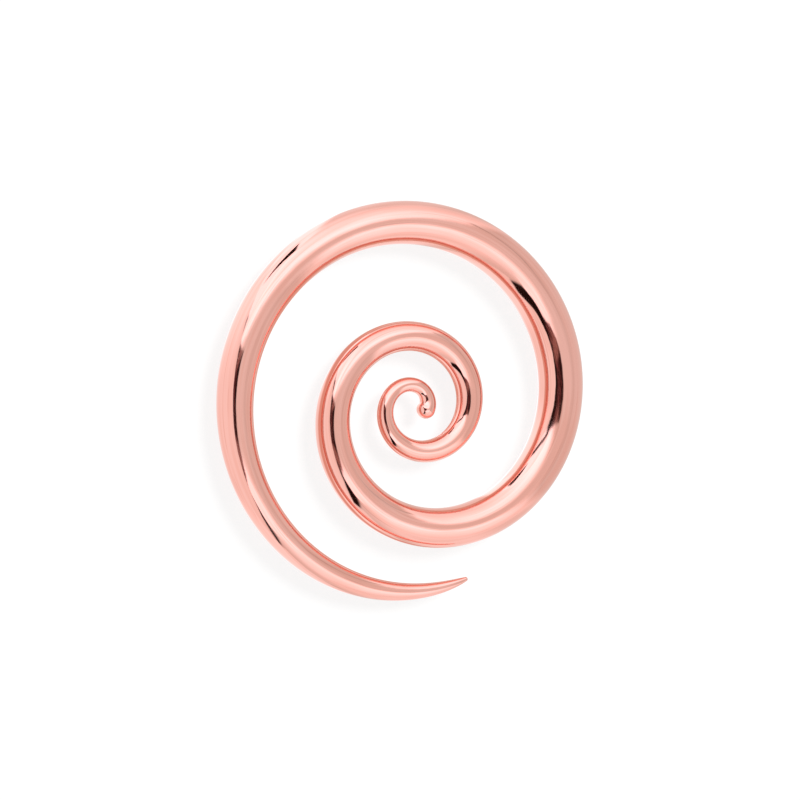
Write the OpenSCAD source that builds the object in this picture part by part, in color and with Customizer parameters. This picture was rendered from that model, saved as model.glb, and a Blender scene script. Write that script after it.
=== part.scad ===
// Spiral ear taper: one round rod of polished metal, wound into a flat spiral.
// The outer end is a fine rounded point, the outer turn is the thickest, and the
// inner turns narrow to a small curl that ends in a rounded knob.
// The taper lies on its side: +Z is up, and it rests on z = 0 under the origin.

/* [Rod] */
// Diameter of the rod where it is thickest, the size that a piercing is stretched to
rod_d = 5; // [2:0.1:5]
// Sides of the rod's round section
rod_sides = 24; // [16:4:32]
// Rings that round each end of the rod
end_rings = 3; // [2:1:5]

/* [Spiral] */
// Largest bend radius of the rod's centre line, in the outer turn
bend_r = 20.2; // [20:0.1:40]
// Quarter turns from the outer point to the knob
quarter_turns = 11.6; // [10:0.1:11.6]
// Rings of the surface in each quarter turn
turn_rings = 12; // [8:1:14]
// Heading of the rod as it leaves the outer point, in degrees from +X towards +Y
point_heading = 200; // [0:5:355]

/* [Hidden] */
ROSE_GOLD = [0.93, 0.65, 0.58];

// Columns of LAW: the bend radius as a share of bend_r, and the area of the
// round section as a share of the area where the rod is thickest
BEND = 0;
AREA = 1;

// One row for each quarter turn, from the outer point inwards. The rod's bend and
// area follow the cubic B-spline that these rows control.
LAW = [
    // bend, area
    [0.97, 0.01],  // outer point
    [1.00, 0.58],
    [1.00, 0.84],
    [0.85, 1.09],  // thickest, after three quarter turns
    [0.72, 0.80],
    [0.53, 0.60],
    [0.42, 0.41],
    [0.31, 0.37],
    [0.27, 0.26],
    [0.19, 0.13],
    [0.13, 0.10],
    [0.09, 0.09],
    [0.04, 0.22]   // knob
];
last_row = len(LAW) - 1;

// Degrees in one quarter turn
QUARTER = 90;

// A control value of one column, carried on in a straight line past both ends
function control(column, row) =
    row < 0 ? 2 * LAW[0][column] - LAW[1][column]
    : row > last_row ? 2 * LAW[last_row][column] - LAW[last_row - 1][column]
    : LAW[row][column];

// The spline of one column at a place along the rod, counted in quarter turns
function along(column, turns) =
    let (row = floor(turns), f = turns - row, g = 1 - f)
    (g * g * g * control(column, row - 1)
        + (4 - 6 * f * f + 3 * f * f * f) * control(column, row)
        + (4 - 6 * g * g + 3 * g * g * g) * control(column, row + 1)
        + f * f * f * control(column, row + 2)) / 6;

function bend_at(turns) = bend_r * along(BEND, turns);
function radius_at(turns) = rod_d / 2 * sqrt(along(AREA, turns));

// The rod turns clockwise, seen from above
function heading_at(turns) = point_heading - QUARTER * turns;
function ahead(turns) = [cos(heading_at(turns)), sin(heading_at(turns)), 0];
function outwards(turns) = [-sin(heading_at(turns)), cos(heading_at(turns)), 0];
UP = [0, 0, 1];

// Centre line: short arcs laid end to end, one from each ring to the next
arcs = ceil(quarter_turns * turn_rings);
arc_turns = quarter_turns / arcs;
function arc_chord(i) =
    let (middle = (i + 0.5) * arc_turns)
    2 * bend_at(middle) * sin(QUARTER * arc_turns / 2) * ahead(middle);
centre_line = [for (p = [0, 0, 0], i = 0; i <= arcs; p = p + arc_chord(i), i = i + 1) p];

// A ring of the surface: centre, place along the rod in quarter turns, and radius
function body_ring(i) = [centre_line[i], i * arc_turns, radius_at(i * arc_turns)];
// A ring of a rounded end, at an angle round it; side is -1 behind the rod and 1 ahead of it
function end_ring(i, side, angle) =
    let (turns = i * arc_turns, r = radius_at(turns))
    [centre_line[i] + side * r * sin(angle) * ahead(turns), turns, r * cos(angle)];

end_step = 90 / (end_rings + 1);
rings = concat(
    [for (k = [end_rings : -1 : 1]) end_ring(0, -1, k * end_step)],
    [for (i = [0 : arcs]) body_ring(i)],
    [for (k = [1 : end_rings]) end_ring(arcs, 1, k * end_step)]
);
point_pole = end_ring(0, -1, 90)[0];
knob_pole = end_ring(arcs, 1, 90)[0];

side_step = 360 / rod_sides;
function ring_points(ring) = [
    for (k = [0 : rod_sides - 1])
        ring[0] + ring[2] * (cos(k * side_step) * outwards(ring[1]) + sin(k * side_step) * UP)
];
swept = concat([for (ring = rings) each ring_points(ring)], [point_pole, knob_pole]);

// Moves the swept points so that the middle of the box's base is the origin
xs = [for (p = swept) p[0]];
ys = [for (p = swept) p[1]];
zs = [for (p = swept) p[2]];
base_middle = [(min(xs) + max(xs)) / 2, (min(ys) + max(ys)) / 2, min(zs)];
surface_points = [for (p = swept) p - base_middle];

// Index of a point: its ring, and its place round the ring
function at(ring, k) = ring * rod_sides + k % rod_sides;
last_ring = len(rings) - 1;
point_index = len(rings) * rod_sides;
knob_index = point_index + 1;
surface_faces = concat(
    [for (k = [0 : rod_sides - 1]) [point_index, at(0, k), at(0, k + 1)]],
    [for (ring = [0 : last_ring - 1], k = [0 : rod_sides - 1])
        [at(ring, k), at(ring + 1, k), at(ring + 1, k + 1)]],
    [for (ring = [0 : last_ring - 1], k = [0 : rod_sides - 1])
        [at(ring, k), at(ring + 1, k + 1), at(ring, k + 1)]],
    [for (k = [0 : rod_sides - 1]) [knob_index, at(last_ring, k + 1), at(last_ring, k)]]
);

// The whole taper, one closed solid
module spiral_rod() {
    color(ROSE_GOLD)
        polyhedron(points = surface_points, faces = surface_faces, convexity = 8);
}

spiral_rod();
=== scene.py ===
"""Spiral ear taper: one polished rose-gold rod, lying on a pale floor in a soft studio."""
import math

import bpy
from mathutils import Matrix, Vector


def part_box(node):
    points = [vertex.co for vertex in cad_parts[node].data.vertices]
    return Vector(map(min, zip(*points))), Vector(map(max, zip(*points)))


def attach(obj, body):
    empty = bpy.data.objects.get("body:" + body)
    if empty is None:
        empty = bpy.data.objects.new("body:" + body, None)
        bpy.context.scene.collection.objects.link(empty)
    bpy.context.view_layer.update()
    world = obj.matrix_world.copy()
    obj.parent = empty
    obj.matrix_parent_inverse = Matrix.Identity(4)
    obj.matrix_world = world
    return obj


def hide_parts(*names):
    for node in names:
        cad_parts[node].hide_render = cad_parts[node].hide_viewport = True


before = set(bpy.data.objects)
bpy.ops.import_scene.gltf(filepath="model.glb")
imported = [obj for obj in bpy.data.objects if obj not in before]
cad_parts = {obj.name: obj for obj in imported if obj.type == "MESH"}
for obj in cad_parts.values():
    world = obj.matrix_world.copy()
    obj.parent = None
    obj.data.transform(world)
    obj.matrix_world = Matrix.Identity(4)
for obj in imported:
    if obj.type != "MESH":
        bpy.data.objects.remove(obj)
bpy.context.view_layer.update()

MM = 0.001
QUARTER = math.pi / 2

# The rod: sizes in millimetres, and the same law that the part's solid follows
ROD_D = 5.0
BEND_R = 20.2
QUARTER_TURNS = 11.6
POINT_HEADING = math.radians(200)
# Bend radius as a share of BEND_R, and area of the section as a share of the
# thickest one, at each quarter turn from the outer point inwards
BEND = (0.97, 1.00, 1.00, 0.85, 0.72, 0.53, 0.42, 0.31, 0.27, 0.19, 0.13, 0.09, 0.04)
AREA = (0.01, 0.58, 0.84, 1.09, 0.80, 0.60, 0.41, 0.37, 0.26, 0.13, 0.10, 0.09, 0.22)

# Fineness of the visible surface. An arc is the stretch of the centre line between two rings.
SIDES = 80
RINGS_PER_QUARTER = 56
CAP_RINGS = 10
ARCS = math.ceil(QUARTER_TURNS * RINGS_PER_QUARTER)
ARC_TURNS = QUARTER_TURNS / ARCS
WHOLE_TURN_ARCS = round(4 / ARC_TURNS)

# Below, a fade is two or four numbers. It goes from its third number to its fourth, or from 0
# to 1 where it has only two, while a value goes from its first number to its second.

# The rod's finish. A grain is a noise's scale per millimetre along the rod, outwards and up.
# The relief is in millimetres, and a height is a share of it.
ROSE_GOLD = (0.905, 0.480, 0.410, 1.0)
ROSE_GOLD_DEEP = (0.870, 0.430, 0.355, 1.0)
ROSE_GOLD_LINE = (0.76, 0.34, 0.27, 1.0)
PATCH_SCALE = 0.11
STREAK_GRAIN = (0.04, 2.4, 2.4)
STREAK_STRENGTH = 2.2
TINT_FADE = (0.2, 0.8)
HAIRLINE_GRAIN = (0.05, 4.5, 4.5)
HAIRLINE_FADE = (0.66, 0.72)
HAIRLINE_STRENGTH = 0.6
LINE_GRAIN = (0.12, 9.0, 9.0)
LINE_ROUGHNESS = (0.35, 0.75, 0.0, 0.03)
LINE_HEIGHT = 0.014
SMUDGE_SCALE = 0.35
SMUDGE_ROUGHNESS = (0.4, 0.75, 0.045, 0.11)
SCRATCH_GRAIN = (7.0, 0.7, 0.7)
SCRATCH_FADE = (0.66, 0.72)
SCRATCH_ROUGHNESS = 0.05
WAVE_GRAIN = (0.22, 0.5, 0.5)
RIPPLE_GRAIN = (0.6, 1.3, 1.3)
RIPPLE_HEIGHT = 0.18
RELIEF = 0.03

# The floor, in metres: a round sheet of white paper that glows, so that shadows stay faint
FLOOR_R = 3.0
FLOOR_CORNERS = 96
PAPER_DARK = (0.150, 0.152, 0.150, 1.0)
PAPER_LIGHT = (0.170, 0.172, 0.170, 1.0)
PAPER_TOOTH_SCALE = 900.0
PAPER_ROUGHNESS = 0.9
PAPER_GLOW = 0.86

# The lamp over the floor, in metres and watts
LAMP_PLACE = (0.25, 0.30, 0.55)
LAMP_D = 0.40
LAMP_POWER = 5.5

# The camera of the photograph, in millimetres: turned to the left of the spiral's axis
CAMERA_TURN = math.radians(22.4)
CAMERA_TARGET = (-0.46, 0.06, 2.5)
CAMERA_DISTANCE = 295.9
CAMERA_LENS = 122.85
CAMERA_SENSOR = 36.0
CAMERA_CLIP = 10.0
CAMERA_RIGHT = (math.cos(CAMERA_TURN), 0.0, math.sin(CAMERA_TURN))
CAMERA_UP = (0.0, 1.0, 0.0)
CAMERA_BACK = (-math.sin(CAMERA_TURN), 0.0, math.cos(CAMERA_TURN))

# The studio is laid out as a mirror ball in the taper's place shows it to that camera: u to
# the right and v up, both from -1 to 1. A fade that is named for U or V goes with that value.
# A light of 1 is white.
WHITE = (1.0, 1.0, 1.0, 1.0)
BLACK = (0.015, 0.007, 0.006, 1.0)
EVEN_LIGHT = (0.4, 0.4, 0.4, 1.0)
# Blue's share of a light, by how bright the light is
BLUE_FADE = (0.8, 1.8, 0.975, 1.10)
# Keeps the ball's picture from dividing by zero straight behind the taper
BALL_RIM = 0.0001

# Corners of the right-hand edges of the left panel and of the dark gap, as (v, u)
PANEL_EDGE = (
    (-1.0, -0.30), (-0.50, -0.25), (-0.30, -0.15), (-0.15, -0.14), (0.10, -0.205), (0.21, -0.262),
    (0.27, -0.315), (0.36, -0.365), (0.45, -0.42), (0.60, -0.50), (1.0, -0.50))
GAP_EDGE = (
    (-1.0, -0.50), (-0.52, -0.17), (-0.40, -0.065), (-0.34, -0.02), (-0.28, -0.02), (-0.225, -0.06),
    (-0.18, -0.02), (-0.15, 0.04), (-0.10, 0.09), (0.07, 0.10), (0.11, -0.04), (0.18, -0.20),
    (0.21, -0.19), (0.24, -0.215), (0.27, -0.24), (0.30, -0.285), (0.42, -0.385), (1.0, -0.50))
PANEL_SOFT = 0.015
GAP_SOFT = 0.022

# The tent's walls: clear at the left, with a gain high up and low down, and dull at the right
LEFT_WALL_U = (-0.1, 0.12, 1.07, 0.88)
UPPER_WALL_V = (0.05, 0.45)
UPPER_WALL_U = (-0.42, -0.30, 1.0, 0.0)
UPPER_WALL_GAIN = 0.37
LOWER_WALL_V = (-0.60, -0.35, 1.0, 0.0)
LOWER_WALL_U = (-0.32, -0.22, 1.0, 0.0)
LOWER_WALL_GAIN = 0.16
RIGHT_WALL_U = (0.42, 0.54)
RIGHT_WALL_LIGHT = 0.78
FAR_WALL_U = (0.57, 0.64)
FAR_WALL_LIGHT = 0.84
# The seam down the right wall: its u at each v, and how it fades across, at its foot and its top
SEAM_LIGHT = 0.58
SEAM_PLACE_V = (0.25, 0.45, 0.55, 0.475)
SEAM_ACROSS = (0.0, 0.025, 1.0, 0.0)
SEAM_FOOT_V = (0.05, 0.25)
SEAM_TOP_V = (0.40, 0.50, 1.0, 0.0)

# The top softbox: its light by v and its share of that by u, its bright border, its foot and
# how much each end of the foot's fade rises with u, its left edge from the gap's edge, and its
# right edge, which leans with v
TOP_BOX_V = (0.30, 0.66, 1.92, 1.27)
TOP_BOX_HIGH_V = (0.66, 0.84)
TOP_BOX_HIGH_LIGHT = 0.98
TOP_BOX_MIDDLE_U = (-0.05, 0.12, 1.0, 0.93)
TOP_BOX_RIGHT_U = (0.24, 0.42, 1.0, 0.90)
TOP_BOX_BORDER_U = (-0.14, -0.04, 1.0, 0.0)
TOP_BOX_BORDER_V = (0.48, 0.54, 1.0, 0.0)
TOP_BOX_BORDER_LIGHT = 2.0
TOP_BOX_FOOT_V = (0.10, 0.17)
TOP_BOX_FOOT_SLOPES = (-0.15, 0.33)
TOP_BOX_START = (-0.03, 0.01)
TOP_BOX_END = (0.24, 0.33, 1.0, 0.0)
TOP_BOX_LEAN = -0.45

# The low softbox: the same with a duller part at the left, and with a head instead of a foot
# and a left edge
LOW_BOX_V = (-0.54, -0.18, 1.09, 1.60)
LOW_BOX_DULL_V = (-0.33, -0.24, 1.0, 0.0)
LOW_BOX_DULL_U = (0.04, 0.20, 1.0, 0.0)
LOW_BOX_DULL_LIGHT_U = (-0.12, 0.12, 0.86, 1.12)
LOW_BOX_RIGHT_U = (0.40, 0.60, 1.0, 0.87)
LOW_BOX_BORDER_U = (0.055, 0.085, 1.0, 0.0)
LOW_BOX_BORDER_V = (-0.34, -0.30)
LOW_BOX_BORDER_LIGHT = 1.68
LOW_BOX_HEAD_V = (-0.13, -0.09)
LOW_BOX_HEAD_SLOPES = (-0.1, 0.2)
LOW_BOX_END = (0.30, 0.41, 1.0, 0.0)
LOW_BOX_LEAN = 0.75

# The dark gap: its left end, foot and top. High up it is only a line along its right-hand edge.
GAP_START_U = (-0.50, -0.44)
GAP_FOOT_V = (-0.53, -0.49)
GAP_TOP_V = (0.43, 0.46, 1.0, 0.0)
GAP_WIDE_V = (0.19, 0.24, 1.0, 0.0)
GAP_LINE = (-0.075, -0.045)
# The dark wedge above it: its tip, its turn, and along it from the tip its half width, the
# middle of its width, its start and its end
WEDGE_TIP = (-0.350, 0.460, 0.0)
WEDGE_TURN = (0.0, 0.0, math.radians(42))
WEDGE_HALF = (0.03, 0.20, 0.015, 0.078)
WEDGE_MIDDLE = (0.03, 0.20, -0.010, 0.006)
WEDGE_RIM = (-0.006, 0.004, 1.0, 0.0)
WEDGE_START = (0.0, 0.04)
WEDGE_END = (0.195, 0.21, 1.0, 0.0)

# The room seen through the gap: the scale of its clutter in u and v, its dim part, and the two
# bands where more light falls
CLUTTER_SCALE = (30.0, 36.0, 1.0)
DIM_COLOUR = (0.20, 0.075, 0.080, 1.0)
DIM_START_U = (-0.20, -0.12, 0.1, 1.0)
DIM_END_U = (-0.03, 0.04, 1.0, 0.15)
DIM_FOOT_V = (-0.24, -0.18)
DIM_TOP_V = (0.12, 0.18, 1.0, 0.0)
DIM_CLUTTER = (0.45, 0.56)
LIT_COLOUR = (0.40, 0.23, 0.21, 1.0)
LIT_CLUTTER = (0.38, 0.54, 0.25, 1.0)
LOW_BAND_FOOT_V = (-0.20, -0.12)
LOW_BAND_TOP_V = (-0.095, -0.07, 1.0, 0.0)
LOW_BAND_U = (-0.19, -0.13, 0.2, 1.0)
HIGH_BAND_FOOT_V = (0.06, 0.085)
HIGH_BAND_TOP_V = (0.10, 0.16, 0.8, 0.0)
HIGH_BAND_U = (-0.15, -0.05, 0.0, 1.0)

# The dome that carries the left panel, in millimetres
DOME_R = 85.0
DOME_SEGMENTS = 64
DOME_RINGS = 32

# The warm card between the turns, a painted reflection: a glowing sheet that only the rod mirrors,
# in place of the warm light that polished turns throw on each other. Its colour, arcs from one row of
# its points to the next, steps across the gap, how far it reaches under the turns at both sides as
# a share of the gap, and its height in millimetres
PAINTED_REFLECTION_COLOUR = (0.81, 0.52, 0.44, 1.0)
CARD_ARCS = 8
CARD_STEPS = 20
CARD_REACH = 0.6
CARD_Z = 0.05
# The stretch of the gap that is warm, as shares of the gap from a turn to the next one inwards:
# where it starts and ends, and what is added or taken away where the turn faces each side
WARM_START = -0.5
WARM_START_RIGHT = 1.45
WARM_START_TOP = 1.25
WARM_START_BOTTOM = 0.8
WARM_START_BOTTOM_LATER = 0.5
WARM_START_SOFT = 0.06
WARM_END = 1.5
WARM_END_LEFT = 0.92
WARM_END_BOTTOM = 0.7
WARM_END_SOFT = 0.10
# The same inside the inner turns, and the quarter turns over which each comes in
INNER_START = -0.7
INNER_END = 0.8
INNER_END_RIGHT = 0.3
LATER_TURNS = (3.1, 3.7)
INNER_TURNS = (4.5, 5.1)
CARD_FIRST_TURNS = (-0.1, 0.2)
CARD_LAST_TURNS = (7.6, 8.4)
# The card's upright fold: its quarter turns, its share of the gap, and its height in millimetres
FOLD_TURNS = (1.6, 3.7)
FOLD_SHARE = 0.60
FOLD_TOP = 1.4


def control(column, row):
    """A control value of one column, carried on in a straight line past both ends"""
    last = len(column) - 1
    if row < 0:
        return 2 * column[0] - column[1]
    if row > last:
        return 2 * column[last] - column[last - 1]
    return column[row]


def along(column, turns):
    """The cubic B-spline of one column at a place along the rod, in quarter turns"""
    row = math.floor(turns)
    f = turns - row
    g = 1 - f
    return (g ** 3 * control(column, row - 1)
            + (4 - 6 * f ** 2 + 3 * f ** 3) * control(column, row)
            + (4 - 6 * g ** 2 + 3 * g ** 3) * control(column, row + 1)
            + f ** 3 * control(column, row + 2)) / 6


def bend_at(turns):
    """Bend radius of the centre line"""
    return BEND_R * along(BEND, turns)


def radius_at(turns):
    """Radius of the rod"""
    return ROD_D / 2 * math.sqrt(along(AREA, turns))


def heading_at(turns):
    """Heading of the rod, which turns clockwise seen from above"""
    return POINT_HEADING - QUARTER * turns


def outwards(turns):
    """The direction in the plane from the rod to the outside of its bend"""
    return -math.sin(heading_at(turns)), math.cos(heading_at(turns))


def centre_line():
    """Places of the rod's centre in the plane, and the length of rod behind each"""
    places = [(0.0, 0.0)]
    lengths = [0.0]
    for i in range(ARCS):
        middle = (i + 0.5) * ARC_TURNS
        chord = 2 * bend_at(middle) * math.sin(QUARTER * ARC_TURNS / 2)
        x, y = places[-1]
        heading = heading_at(middle)
        places.append((x + chord * math.cos(heading), y + chord * math.sin(heading)))
        lengths.append(lengths[-1] + chord)
    return places, lengths


def rod_rings():
    """Rings of the surface: centre x and y, heading, radius, and length along the rod.
    The first and the last are the poles of the rounded ends and have no radius."""
    places, lengths = centre_line()
    rings = []
    for k in range(CAP_RINGS, 0, -1):
        rings.append(cap_ring(places[0], 0.0, lengths[0], -1, k))
    for i in range(ARCS + 1):
        turns = i * ARC_TURNS
        rings.append((*places[i], heading_at(turns), radius_at(turns), lengths[i]))
    for k in range(1, CAP_RINGS + 1):
        rings.append(cap_ring(places[-1], QUARTER_TURNS, lengths[-1], 1, k))
    return rings


def cap_ring(place, turns, length, side, k):
    """One ring of a rounded end; side is -1 behind the rod and 1 ahead of it"""
    angle = QUARTER * k / CAP_RINGS
    heading = heading_at(turns)
    radius = radius_at(turns)
    ahead = side * radius * math.sin(angle)
    x = place[0] + ahead * math.cos(heading)
    y = place[1] + ahead * math.sin(heading)
    return x, y, heading, radius * math.cos(angle), length + ahead


def surface_points(rings):
    """Points of the rings between the poles, then the two poles, and the grain at each:
    length along the rod, and the place in its section, outwards and up"""
    points = []
    grain = []
    for x, y, heading, radius, length in rings[1:-1]:
        for k in range(SIDES):
            angle = 2 * math.pi * k / SIDES
            out = radius * math.cos(angle)
            up = radius * math.sin(angle)
            points.append((x - out * math.sin(heading), y + out * math.cos(heading), up))
            grain.append((length, out, up))
    for pole in (rings[0], rings[-1]):
        points.append((pole[0], pole[1], 0.0))
        grain.append((pole[-1], 0.0, 0.0))
    return points, grain


def surface_faces(ring_count):
    """Quads between the rings, and a fan of triangles at each pole, all facing outwards"""
    faces = []
    last = (ring_count - 1) * SIDES
    point_pole = ring_count * SIDES
    knob_pole = point_pole + 1
    for k in range(SIDES):
        after = (k + 1) % SIDES
        for here in range(0, last, SIDES):
            ahead = here + SIDES
            faces.append((here + k, here + after, ahead + after, ahead + k))
        faces.append((point_pole, after, k))
        faces.append((knob_pole, last + k, last + after))
    return faces


def rod_mesh(name):
    """The rod's surface, placed on its CAD solid, with its grain as an attribute"""
    rings = rod_rings()
    points, grain = surface_points(rings)
    mesh = bpy.data.meshes.new(name)
    mesh.from_pydata(placed(points, points), [], surface_faces(len(rings) - 2))
    values = mesh.attributes.new("grain", "FLOAT_VECTOR", "POINT").data
    values.foreach_set("vector", [value for place in grain for value in place])
    return mesh


def placed(points, rod_points):
    """Points moved as the rod is, which lies on its CAD solid, and turned to metres"""
    low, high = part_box("spiral_rod")
    shift = [(low[a] + high[a]) / 2 - MM * middle_of(rod_points, a) for a in range(3)]
    return [tuple(MM * p[a] + shift[a] for a in range(3)) for p in points]


def middle_of(points, axis):
    """The middle of the points' extent along an axis"""
    values = [p[axis] for p in points]
    return (min(values) + max(values)) / 2


def linked(name, data):
    """A new object, linked to the scene"""
    thing = bpy.data.objects.new(name, data)
    bpy.context.collection.objects.link(thing)
    return thing


def build_rod():
    """The whole taper"""
    mesh = rod_mesh("taper_rod")
    mesh.materials.append(rose_gold())
    return linked("taper_rod", mesh)


def add(tree, kind, **settings):
    """A new node with its settings"""
    node = tree.nodes.new(kind)
    for key, value in settings.items():
        setattr(node, key, value)
    return node


def feed(tree, socket, value):
    """Links a socket to another, or sets it to a value"""
    if isinstance(value, bpy.types.NodeSocket):
        tree.links.new(value, socket)
    else:
        socket.default_value = value


def maths(tree, operation, *values):
    """The result of one operation on linked or given values"""
    node = add(tree, "ShaderNodeMath", operation=operation)
    for socket, value in zip(node.inputs, values):
        feed(tree, socket, value)
    return node.outputs[0]


def step(tree, value, low, high, start=0.0, end=1.0, shape="SMOOTHSTEP"):
    """Goes from start to end while value goes from low to high"""
    node = add(tree, "ShaderNodeMapRange", interpolation_type=shape, clamp=True)
    for name, given in zip(("Value", "From Min", "From Max", "To Min", "To Max"),
                           (value, low, high, start, end)):
        feed(tree, node.inputs[name], given)
    return node.outputs[0]


def blend(tree, start, end, share):
    """A level that goes from start to end with a share"""
    return step(tree, share, 0.0, 1.0, start, end, "LINEAR")


def mixed(tree, start, end, share):
    """A colour that goes from start to end with a share"""
    node = add(tree, "ShaderNodeMix", data_type="RGBA")
    feed(tree, node.inputs["Factor"], share)
    feed(tree, node.inputs["A"], start)
    feed(tree, node.inputs["B"], end)
    return node.outputs["Result"]


def inside(tree, *shares):
    """The product of several shares"""
    result = shares[0]
    for share in shares[1:]:
        result = maths(tree, "MULTIPLY", result, share)
    return result


def noise(tree, place, scale=1.0, *, detail, roughness):
    """A cloudy noise, around a half"""
    node = add(tree, "ShaderNodeTexNoise")
    feed(tree, node.inputs["Vector"], place)
    node.inputs["Scale"].default_value = scale
    node.inputs["Detail"].default_value = detail
    node.inputs["Roughness"].default_value = roughness
    return node.outputs["Fac"]


def stretched(tree, place, scale):
    """A place with its three parts scaled on their own"""
    node = add(tree, "ShaderNodeMapping", vector_type="POINT")
    feed(tree, node.inputs["Vector"], place)
    node.inputs["Scale"].default_value = scale
    return node.outputs["Vector"]


def surface_material(name):
    """A new material, its node tree and its shader"""
    material = bpy.data.materials.new(name)
    material.use_nodes = True
    return material, material.node_tree, material.node_tree.nodes["Principled BSDF"]


def rose_gold():
    """Polished rose-gold plate: clear reflections, faint polishing lines and hand smudges"""
    material, tree, shader = surface_material("rose_gold_polish")
    shader.inputs["Metallic"].default_value = 1.0
    grain = add(tree, "ShaderNodeAttribute", attribute_name="grain").outputs["Vector"]
    lines = noise(tree, stretched(tree, grain, LINE_GRAIN), detail=3.0, roughness=0.6)
    tree.links.new(plate_colour(tree, grain), shader.inputs["Base Color"])
    tree.links.new(plate_roughness(tree, grain, lines), shader.inputs["Roughness"])
    tree.links.new(plate_relief(tree, grain, lines), shader.inputs["Normal"])
    return material


def plate_colour(tree, grain):
    """Rose gold, deeper in patches and streaks along the rod, with a few redder hairlines"""
    patches = noise(tree, grain, PATCH_SCALE, detail=2.0, roughness=0.5)
    streaks = noise(tree, stretched(tree, grain, STREAK_GRAIN), detail=2.0, roughness=0.6)
    tint = maths(tree, "MULTIPLY_ADD", maths(tree, "SUBTRACT", streaks, 0.5), STREAK_STRENGTH, patches)
    colour = mixed(tree, ROSE_GOLD, ROSE_GOLD_DEEP, step(tree, tint, *TINT_FADE))
    fine = noise(tree, stretched(tree, grain, HAIRLINE_GRAIN), detail=1.0, roughness=0.5)
    hairlines = maths(tree, "MULTIPLY", step(tree, fine, *HAIRLINE_FADE), HAIRLINE_STRENGTH)
    return mixed(tree, colour, ROSE_GOLD_LINE, hairlines)


def plate_roughness(tree, grain, lines):
    """A near mirror, duller in smudges, along the polishing lines and in the odd fine scratch"""
    smudges = noise(tree, grain, SMUDGE_SCALE, detail=3.0, roughness=0.55)
    across = noise(tree, stretched(tree, grain, SCRATCH_GRAIN), detail=2.0, roughness=0.6)
    scratches = maths(tree, "MULTIPLY", step(tree, across, *SCRATCH_FADE), SCRATCH_ROUGHNESS)
    rough = step(tree, smudges, *SMUDGE_ROUGHNESS)
    rough = maths(tree, "ADD", rough, step(tree, lines, *LINE_ROUGHNESS))
    return maths(tree, "ADD", rough, scratches)


def plate_relief(tree, grain, lines):
    """The slight unevenness of a hand-polished rod, under the fine lines"""
    wave = noise(tree, stretched(tree, grain, WAVE_GRAIN), detail=1.0, roughness=0.4)
    ripple = noise(tree, stretched(tree, grain, RIPPLE_GRAIN), detail=2.0, roughness=0.5)
    lined = maths(tree, "MULTIPLY_ADD", lines, LINE_HEIGHT, wave)
    bump = add(tree, "ShaderNodeBump")
    bump.inputs["Strength"].default_value = 1.0
    bump.inputs["Distance"].default_value = MM * RELIEF
    feed(tree, bump.inputs["Height"], maths(tree, "MULTIPLY_ADD", ripple, RIPPLE_HEIGHT, lined))
    return bump.outputs["Normal"]


def pale_floor():
    """White paper with a faint tooth, lit through from below so that shadows on it stay faint"""
    material, tree, shader = surface_material("pale_paper")
    shader.inputs["Roughness"].default_value = PAPER_ROUGHNESS
    shader.inputs["Specular IOR Level"].default_value = 0.0
    shader.inputs["Emission Color"].default_value = WHITE
    shader.inputs["Emission Strength"].default_value = PAPER_GLOW
    place = add(tree, "ShaderNodeTexCoord").outputs["Object"]
    tooth = noise(tree, place, PAPER_TOOTH_SCALE, detail=3.0, roughness=0.6)
    tree.links.new(mixed(tree, PAPER_DARK, PAPER_LIGHT, tooth), shader.inputs["Base Color"])
    return material


def build_floor():
    """A wide round sheet under the taper, hidden from its reflections"""
    mesh = bpy.data.meshes.new("floor")
    rim = [2 * math.pi * k / FLOOR_CORNERS for k in range(FLOOR_CORNERS)]
    points = [(FLOOR_R * math.cos(a), FLOOR_R * math.sin(a), 0.0) for a in rim]
    mesh.from_pydata(points, [], [range(FLOOR_CORNERS)])
    mesh.materials.append(pale_floor())
    floor = linked("floor", mesh)
    floor.visible_glossy = False


def camera_part(tree, direction, axis):
    """How far a direction goes along one axis of the photograph's camera"""
    node = add(tree, "ShaderNodeVectorMath", operation="DOT_PRODUCT")
    feed(tree, node.inputs[0], direction)
    node.inputs[1].default_value = axis
    return node.outputs["Value"]


def mirror_ball(tree, direction):
    """Where a mirror ball in the taper's place shows a direction, from the photograph's camera:
    u to the right and v up, both from -1 to 1"""
    back = camera_part(tree, direction, CAMERA_BACK)
    size = maths(tree, "SQRT", maths(tree, "MULTIPLY_ADD", back, 2.0, 2.0 + BALL_RIM))
    u = maths(tree, "DIVIDE", camera_part(tree, direction, CAMERA_RIGHT), size)
    v = maths(tree, "DIVIDE", camera_part(tree, direction, CAMERA_UP), size)
    return u, v


def flat_place(tree, u, v):
    """A place on the mirror ball's picture"""
    place = add(tree, "ShaderNodeCombineXYZ")
    feed(tree, place.inputs["X"], u)
    feed(tree, place.inputs["Y"], v)
    return place.outputs["Vector"]


def edge(tree, v, corners):
    """The u of an edge at a height v, straight between its corners"""
    node = add(tree, "ShaderNodeFloatCurve")
    feed(tree, node.inputs["Value"], maths(tree, "MULTIPLY_ADD", v, 0.5, 0.5))
    curve = node.mapping.curves[0]
    places = [((height + 1) / 2, (across + 1) / 2) for height, across in corners]
    curve.points[0].location = places[0]
    curve.points[1].location = places[-1]
    for place in places[1:-1]:
        curve.points.new(*place)
    for point in curve.points:
        point.handle_type = "VECTOR"
    node.mapping.update()
    return maths(tree, "MULTIPLY_ADD", node.outputs["Value"], 2.0, -1.0)


def left_of(tree, u, v, corners, soft):
    """Share that lies to the left of a soft edge"""
    return step(tree, maths(tree, "SUBTRACT", edge(tree, v, corners), u), -soft, soft)


def right_of_gap(tree, u, v):
    """How far a place is to the right of the dark gap's edge"""
    return maths(tree, "SUBTRACT", u, edge(tree, v, GAP_EDGE))


def sloped(tree, across, starts, slopes):
    """Places that move with the way across, each with its own slope"""
    return [maths(tree, "MULTIPLY_ADD", across, slope, start) for start, slope in zip(starts, slopes)]


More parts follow.
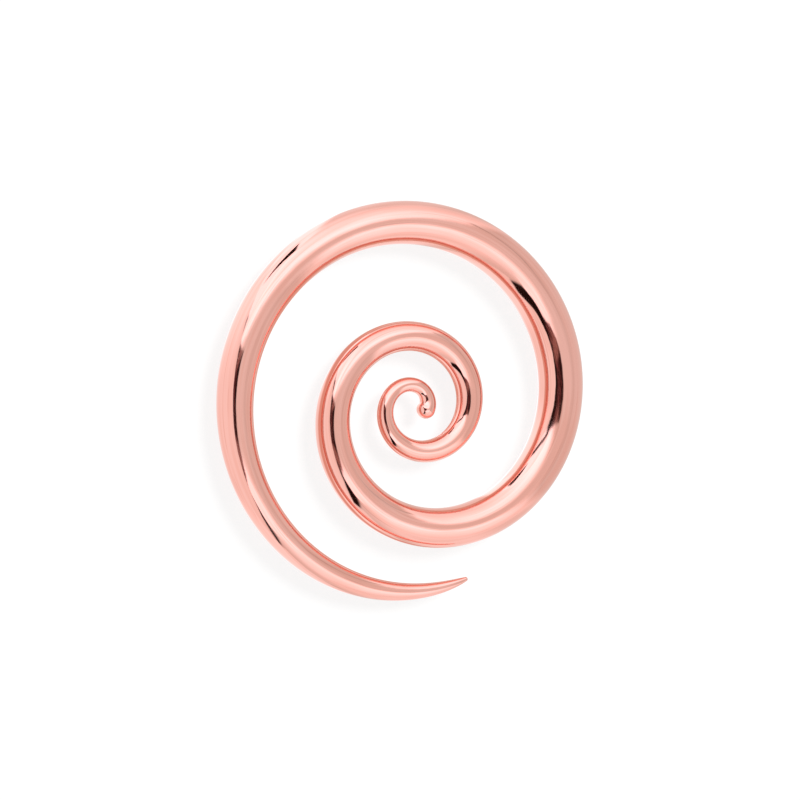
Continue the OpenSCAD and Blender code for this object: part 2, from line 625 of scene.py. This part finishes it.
def walls(tree, u, v):
    """The white tent's own light"""
    light = step(tree, u, *LEFT_WALL_U)
    upper = inside(tree, step(tree, v, *UPPER_WALL_V), step(tree, u, *UPPER_WALL_U))
    lower = inside(tree, step(tree, v, *LOWER_WALL_V), step(tree, u, *LOWER_WALL_U))
    light = maths(tree, "MULTIPLY_ADD", upper, UPPER_WALL_GAIN, light)
    light = maths(tree, "MULTIPLY_ADD", lower, LOWER_WALL_GAIN, light)
    light = blend(tree, light, RIGHT_WALL_LIGHT, step(tree, u, *RIGHT_WALL_U))
    return blend(tree, light, FAR_WALL_LIGHT, step(tree, u, *FAR_WALL_U))


def top_box(tree, u, v, light):
    """The large softbox above the camera, brightest low down and along its left side"""
    fade = step(tree, v, *TOP_BOX_V, "LINEAR")
    fade = blend(tree, fade, TOP_BOX_HIGH_LIGHT, step(tree, v, *TOP_BOX_HIGH_V))
    fade = maths(tree, "MULTIPLY", fade, step(tree, u, *TOP_BOX_MIDDLE_U))
    fade = maths(tree, "MULTIPLY", fade, step(tree, u, *TOP_BOX_RIGHT_U))
    border = inside(tree, step(tree, u, *TOP_BOX_BORDER_U), step(tree, v, *TOP_BOX_BORDER_V))
    fade = blend(tree, fade, TOP_BOX_BORDER_LIGHT, border)
    rightwards = maths(tree, "MAXIMUM", u, 0.0)
    foot = step(tree, v, *sloped(tree, rightwards, TOP_BOX_FOOT_V, TOP_BOX_FOOT_SLOPES))
    left = step(tree, right_of_gap(tree, u, v), *TOP_BOX_START)
    right = step(tree, maths(tree, "MULTIPLY_ADD", v, TOP_BOX_LEAN, u), *TOP_BOX_END)
    return blend(tree, light, fade, inside(tree, foot, left, right))


def low_box(tree, u, v, light):
    """The smaller softbox below the camera, duller towards the left but for a bright border"""
    fade = step(tree, v, *LOW_BOX_V, "LINEAR")
    dull = inside(tree, step(tree, v, *LOW_BOX_DULL_V), step(tree, u, *LOW_BOX_DULL_U))
    fade = blend(tree, fade, step(tree, u, *LOW_BOX_DULL_LIGHT_U), dull)
    fade = maths(tree, "MULTIPLY", fade, step(tree, u, *LOW_BOX_RIGHT_U))
    border = inside(tree, step(tree, u, *LOW_BOX_BORDER_U), step(tree, v, *LOW_BOX_BORDER_V))
    fade = blend(tree, fade, LOW_BOX_BORDER_LIGHT, border)
    head = step(tree, v, *sloped(tree, u, LOW_BOX_HEAD_V, LOW_BOX_HEAD_SLOPES), 1.0, 0.0)
    right = step(tree, maths(tree, "MULTIPLY_ADD", v, LOW_BOX_LEAN, u), *LOW_BOX_END)
    return blend(tree, light, fade, inside(tree, head, right))


def seam(tree, u, v):
    """Share of the thin shaded seam down the right wall"""
    off = maths(tree, "ABSOLUTE", maths(tree, "SUBTRACT", u, step(tree, v, *SEAM_PLACE_V)))
    return inside(tree, step(tree, off, *SEAM_ACROSS), step(tree, v, *SEAM_FOOT_V),
                  step(tree, v, *SEAM_TOP_V))


def gap(tree, u, v):
    """Share of the dark gap between the left panel and the softboxes"""
    line = maths(tree, "MAXIMUM", step(tree, v, *GAP_WIDE_V),
                 step(tree, right_of_gap(tree, u, v), *GAP_LINE))
    return inside(tree, left_of(tree, u, v, GAP_EDGE, GAP_SOFT), step(tree, u, *GAP_START_U), line,
                  step(tree, v, *GAP_FOOT_V), step(tree, v, *GAP_TOP_V))


def wedge(tree, u, v):
    """Share of the dark wedge high up at the left, where the gap opens again"""
    turned = add(tree, "ShaderNodeMapping", vector_type="TEXTURE")
    tree.links.new(flat_place(tree, u, v), turned.inputs["Vector"])
    turned.inputs["Location"].default_value = WEDGE_TIP
    turned.inputs["Rotation"].default_value = WEDGE_TURN
    parts = add(tree, "ShaderNodeSeparateXYZ")
    tree.links.new(turned.outputs["Vector"], parts.inputs[0])
    reach = parts.outputs["X"]
    half = step(tree, reach, *WEDGE_HALF, "LINEAR")
    middle = step(tree, reach, *WEDGE_MIDDLE, "LINEAR")
    off = maths(tree, "ABSOLUTE", maths(tree, "SUBTRACT", parts.outputs["Y"], middle))
    past = maths(tree, "SUBTRACT", off, half)
    return inside(tree, step(tree, past, *WEDGE_RIM), step(tree, reach, *WEDGE_START),
                  step(tree, reach, *WEDGE_END))


def room(tree, u, v, colour, black):
    """The cluttered room behind the camera, seen through the dark gap: dim browns, and two bands
    where more light falls"""
    place = stretched(tree, flat_place(tree, u, v), CLUTTER_SCALE)
    clutter = noise(tree, place, detail=3.0, roughness=0.65)
    middle = inside(tree, step(tree, u, *DIM_START_U), step(tree, u, *DIM_END_U))
    dim = inside(tree, black, middle, step(tree, v, *DIM_FOOT_V), step(tree, v, *DIM_TOP_V),
                 step(tree, clutter, *DIM_CLUTTER))
    low = inside(tree, step(tree, v, *LOW_BAND_FOOT_V), step(tree, v, *LOW_BAND_TOP_V),
                 step(tree, u, *LOW_BAND_U))
    high = inside(tree, step(tree, v, *HIGH_BAND_FOOT_V), step(tree, v, *HIGH_BAND_TOP_V),
                  step(tree, u, *HIGH_BAND_U))
    lit = inside(tree, black, maths(tree, "MAXIMUM", low, high), step(tree, clutter, *LIT_CLUTTER))
    return mixed(tree, mixed(tree, colour, DIM_COLOUR, dim), LIT_COLOUR, lit)


def tinted(tree, light):
    """A light with its colour: the brighter it is, the bluer"""
    colour = add(tree, "ShaderNodeCombineXYZ")
    feed(tree, colour.inputs["X"], light)
    feed(tree, colour.inputs["Y"], light)
    blue = step(tree, light, *BLUE_FADE, "LINEAR")
    feed(tree, colour.inputs["Z"], maths(tree, "MULTIPLY", light, blue))
    return colour.outputs["Vector"]


def build_studio():
    """A white tent with two softboxes and a dark gap, laid out by direction from the photograph's
    camera. Only reflections show it: the floor is lit by an even white, and past the floor the
    camera sees plain white."""
    world = bpy.data.worlds.new("studio")
    world.use_nodes = True
    bpy.context.scene.world = world
    tree = world.node_tree
    u, v = mirror_ball(tree, add(tree, "ShaderNodeTexCoord").outputs["Generated"])
    light = low_box(tree, u, v, top_box(tree, u, v, walls(tree, u, v)))
    colour = tinted(tree, blend(tree, light, SEAM_LIGHT, seam(tree, u, v)))
    black = gap(tree, u, v)
    colour = mixed(tree, colour, BLACK, maths(tree, "MAXIMUM", black, wedge(tree, u, v)))
    colour = room(tree, u, v, colour, black)
    path = add(tree, "ShaderNodeLightPath")
    unseen = mixed(tree, EVEN_LIGHT, colour, path.outputs["Is Glossy Ray"])
    seen = mixed(tree, unseen, WHITE, path.outputs["Is Camera Ray"])
    background = tree.nodes["Background"]
    tree.links.new(seen, background.inputs["Color"])
    background.inputs["Strength"].default_value = 1.0


def glow_material(name):
    """A new material that only glows: the material, its node tree, its glow, and the socket
    that takes its surface"""
    material = bpy.data.materials.new(name)
    material.use_nodes = True
    material.cycles.emission_sampling = "NONE"
    tree = material.node_tree
    tree.nodes.remove(tree.nodes["Principled BSDF"])
    surface = tree.nodes["Material Output"].inputs["Surface"]
    return material, tree, add(tree, "ShaderNodeEmission"), surface


def see_through(tree, glow, share):
    """A glow that covers a share of the surface and leaves the rest clear"""
    shown = add(tree, "ShaderNodeMixShader")
    feed(tree, shown.inputs["Fac"], share)
    tree.links.new(add(tree, "ShaderNodeBsdfTransparent").outputs[0], shown.inputs[1])
    tree.links.new(glow.outputs[0], shown.inputs[2])
    return shown.outputs[0]


def mirrored_only(card):
    """Shows a studio card in reflections alone"""
    card.visible_camera = False
    card.visible_diffuse = False
    card.visible_shadow = False
    card.visible_transmission = False
    card.visible_volume_scatter = False


def build_left_panel():
    """The tent's left panel, a part of a dome near the taper"""
    bpy.ops.mesh.primitive_uv_sphere_add(
        segments=DOME_SEGMENTS, ring_count=DOME_RINGS, radius=MM * DOME_R,
        location=[MM * part for part in CAMERA_TARGET])
    panel = bpy.context.object
    panel.name = "left_panel"
    material, tree, glow, surface = glow_material("left_panel")
    place = add(tree, "ShaderNodeVectorMath", operation="NORMALIZE")
    tree.links.new(add(tree, "ShaderNodeTexCoord").outputs["Object"], place.inputs[0])
    u, v = mirror_ball(tree, place.outputs["Vector"])
    tree.links.new(tinted(tree, walls(tree, u, v)), glow.inputs["Color"])
    share = left_of(tree, u, v, PANEL_EDGE, PANEL_SOFT)
    tree.links.new(see_through(tree, glow, share), surface)
    panel.data.materials.append(material)
    mirrored_only(panel)


def ramp(value, low, high):
    """Goes from 0 to 1 while value goes from low to high"""
    return min(max((value - low) / (high - low), 0.0), 1.0)


def in_gap(places, i, share):
    """The place at a share of the gap inside one turn, from that turn to the next, or to the
    knob's middle where no turn is left"""
    turns = i * ARC_TURNS
    out = outwards(turns)
    near = [places[i][a] - out[a] * radius_at(turns) for a in range(2)]
    far = places[-1]
    after = i + WHOLE_TURN_ARCS
    if after <= ARCS:
        far = [places[after][a] + out[a] * radius_at(after * ARC_TURNS) for a in range(2)]
    return [near[a] + share * (far[a] - near[a]) for a in range(2)]


def warm_stretch(turns, out):
    """Where the warm stretch of the gap inside one turn starts and ends, as shares of the gap.
    Outside, it lies by the next turn where the rod is at the right or the top, by the rod itself
    at the left, and in the middle at the bottom. Further in, it fills the gap."""
    right = max(out[0], 0.0)
    left = max(-out[0], 0.0)
    top = max(out[1], 0.0)
    bottom = max(-out[1], 0.0)
    low = WARM_START_BOTTOM + WARM_START_BOTTOM_LATER * ramp(turns, *LATER_TURNS)
    start = WARM_START_RIGHT * right ** 2 + WARM_START_TOP * top ** 2 + low * bottom ** 2 + WARM_START
    end = WARM_END - WARM_END_LEFT * left ** 2 - WARM_END_BOTTOM * bottom ** 2
    inner = ramp(turns, *INNER_TURNS)
    start += inner * (INNER_START - start)
    end += inner * (INNER_END + INNER_END_RIGHT * right - end)
    return start, end


def warmth_at(turns, share):
    """Warmth of the card at a share of the gap inside one turn"""
    start, end = warm_stretch(turns, outwards(turns))
    shown = ramp(turns, *CARD_FIRST_TURNS) * (1.0 - ramp(turns, *CARD_LAST_TURNS))
    started = ramp(share, start - WARM_START_SOFT, start + WARM_START_SOFT)
    return shown * started * (1.0 - ramp(share, end - WARM_END_SOFT, end + WARM_END_SOFT))


def card_row(places, i):
    """Points of the warm card across the gap inside one turn, and how warm the card is at each:
    its glow covers that share, and the rest is clear"""
    width = 1 + 2 * CARD_REACH
    shares = [k / CARD_STEPS * width - CARD_REACH for k in range(CARD_STEPS + 1)]
    points = [(*in_gap(places, i, share), CARD_Z) for share in shares]
    return points, [warmth_at(i * ARC_TURNS, share) for share in shares]


def woven_mesh(name, points, across):
    """A card's mesh, from rows of so many points across, laid where the rod is but at its own
    height"""
    moved = placed(points, surface_points(rod_rings())[0])
    corners = [(there[0], there[1], MM * p[2]) for there, p in zip(moved, points)]
    faces = []
    for start in range(0, len(points) - across, across):
        for k in range(start, start + across - 1):
            faces.append((k, k + across, k + across + 1, k + 1))
    mesh = bpy.data.meshes.new(name)
    mesh.from_pydata(corners, [], faces)
    return mesh


def build_card(mesh, share_of):
    """A warm studio card that glows, a painted reflection seen only in the rod. share_of adds to its
    node tree the share of the mesh that it covers.
    """
    material, tree, glow, surface = glow_material(mesh.name)
    glow.inputs["Color"].default_value = PAINTED_REFLECTION_COLOUR
    tree.links.new(see_through(tree, glow, share_of(tree)), surface)
    mesh.materials.append(material)
    mirrored_only(linked(mesh.name, mesh))


def painted_reflection_share(tree):
    """The card's own warmth: the share of it where the painted reflection shows"""
    return add(tree, "ShaderNodeAttribute", attribute_name="warmth").outputs["Fac"]


def front_share(tree):
    """The whole front of the card, and nothing of its back"""
    back = add(tree, "ShaderNodeNewGeometry").outputs["Backfacing"]
    return maths(tree, "SUBTRACT", 1.0, back)


def build_painted_reflection_card():
    """A glowing card just above the floor between the turns, which only their sides mirror: a painted
    reflection of the warm colour that polished turns throw on each other"""
    places = centre_line()[0]
    rows = [card_row(places, i) for i in range(0, ARCS + 1, CARD_ARCS)]
    mesh = woven_mesh("painted_reflection_card", [point for points, _ in rows for point in points], CARD_STEPS + 1)
    values = mesh.attributes.new("warmth", "FLOAT", "POINT").data
    values.foreach_set("value", [warmth for _, warmths in rows for warmth in warmths])
    build_card(mesh, painted_reflection_share)


def build_painted_reflection_fold():
    """An upright fold of the glowing card, more painted reflection, clear from outside: only the next
    turn's outer side mirrors it"""
    places = centre_line()[0]
    points = []
    for i in range(0, ARCS + 1, CARD_ARCS):
        if FOLD_TURNS[0] <= i * ARC_TURNS <= FOLD_TURNS[1]:
            place = in_gap(places, i, FOLD_SHARE)
            points += [(*place, CARD_Z), (*place, FOLD_TOP)]
    build_card(woven_mesh("painted_reflection_fold", points, 2), front_share)


def build_floor_light():
    """A soft light for the floor alone, which polished metal doesn't mirror"""
    data = bpy.data.lights.new("floor_light", "AREA")
    data.shape = "DISK"
    data.size = LAMP_D
    data.energy = LAMP_POWER
    lamp = linked("floor_light", data)
    lamp.location = LAMP_PLACE
    lamp.rotation_euler = aim(LAMP_PLACE)
    lamp.visible_glossy = False


def aim(place):
    """Rotation that points a lamp from its place at the origin"""
    x, y, z = place
    return (math.atan2(math.hypot(x, y), z), 0.0, math.atan2(y, x) + QUARTER)


def build_camera():
    """The photograph's camera, which looks at the middle of the rod"""
    data = bpy.data.cameras.new("camera")
    data.lens = CAMERA_LENS
    data.sensor_width = CAMERA_SENSOR
    data.clip_start = MM * CAMERA_CLIP
    camera = linked("camera", data)
    rows = []
    for a in range(3):
        place = MM * (CAMERA_TARGET[a] + CAMERA_DISTANCE * CAMERA_BACK[a])
        rows.append((CAMERA_RIGHT[a], CAMERA_UP[a], CAMERA_BACK[a], place))
    rows.append((0.0, 0.0, 0.0, 1.0))
    camera.matrix_world = Matrix(rows)
    bpy.context.scene.camera = camera


build_camera()
rod = build_rod()
rod.data.shade_smooth()
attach(rod, "root")
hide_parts("spiral_rod")
build_floor()
build_studio()
build_left_panel()
build_painted_reflection_card()
build_painted_reflection_fold()
build_floor_light()
bpy.context.scene.view_settings.view_transform = "Standard"
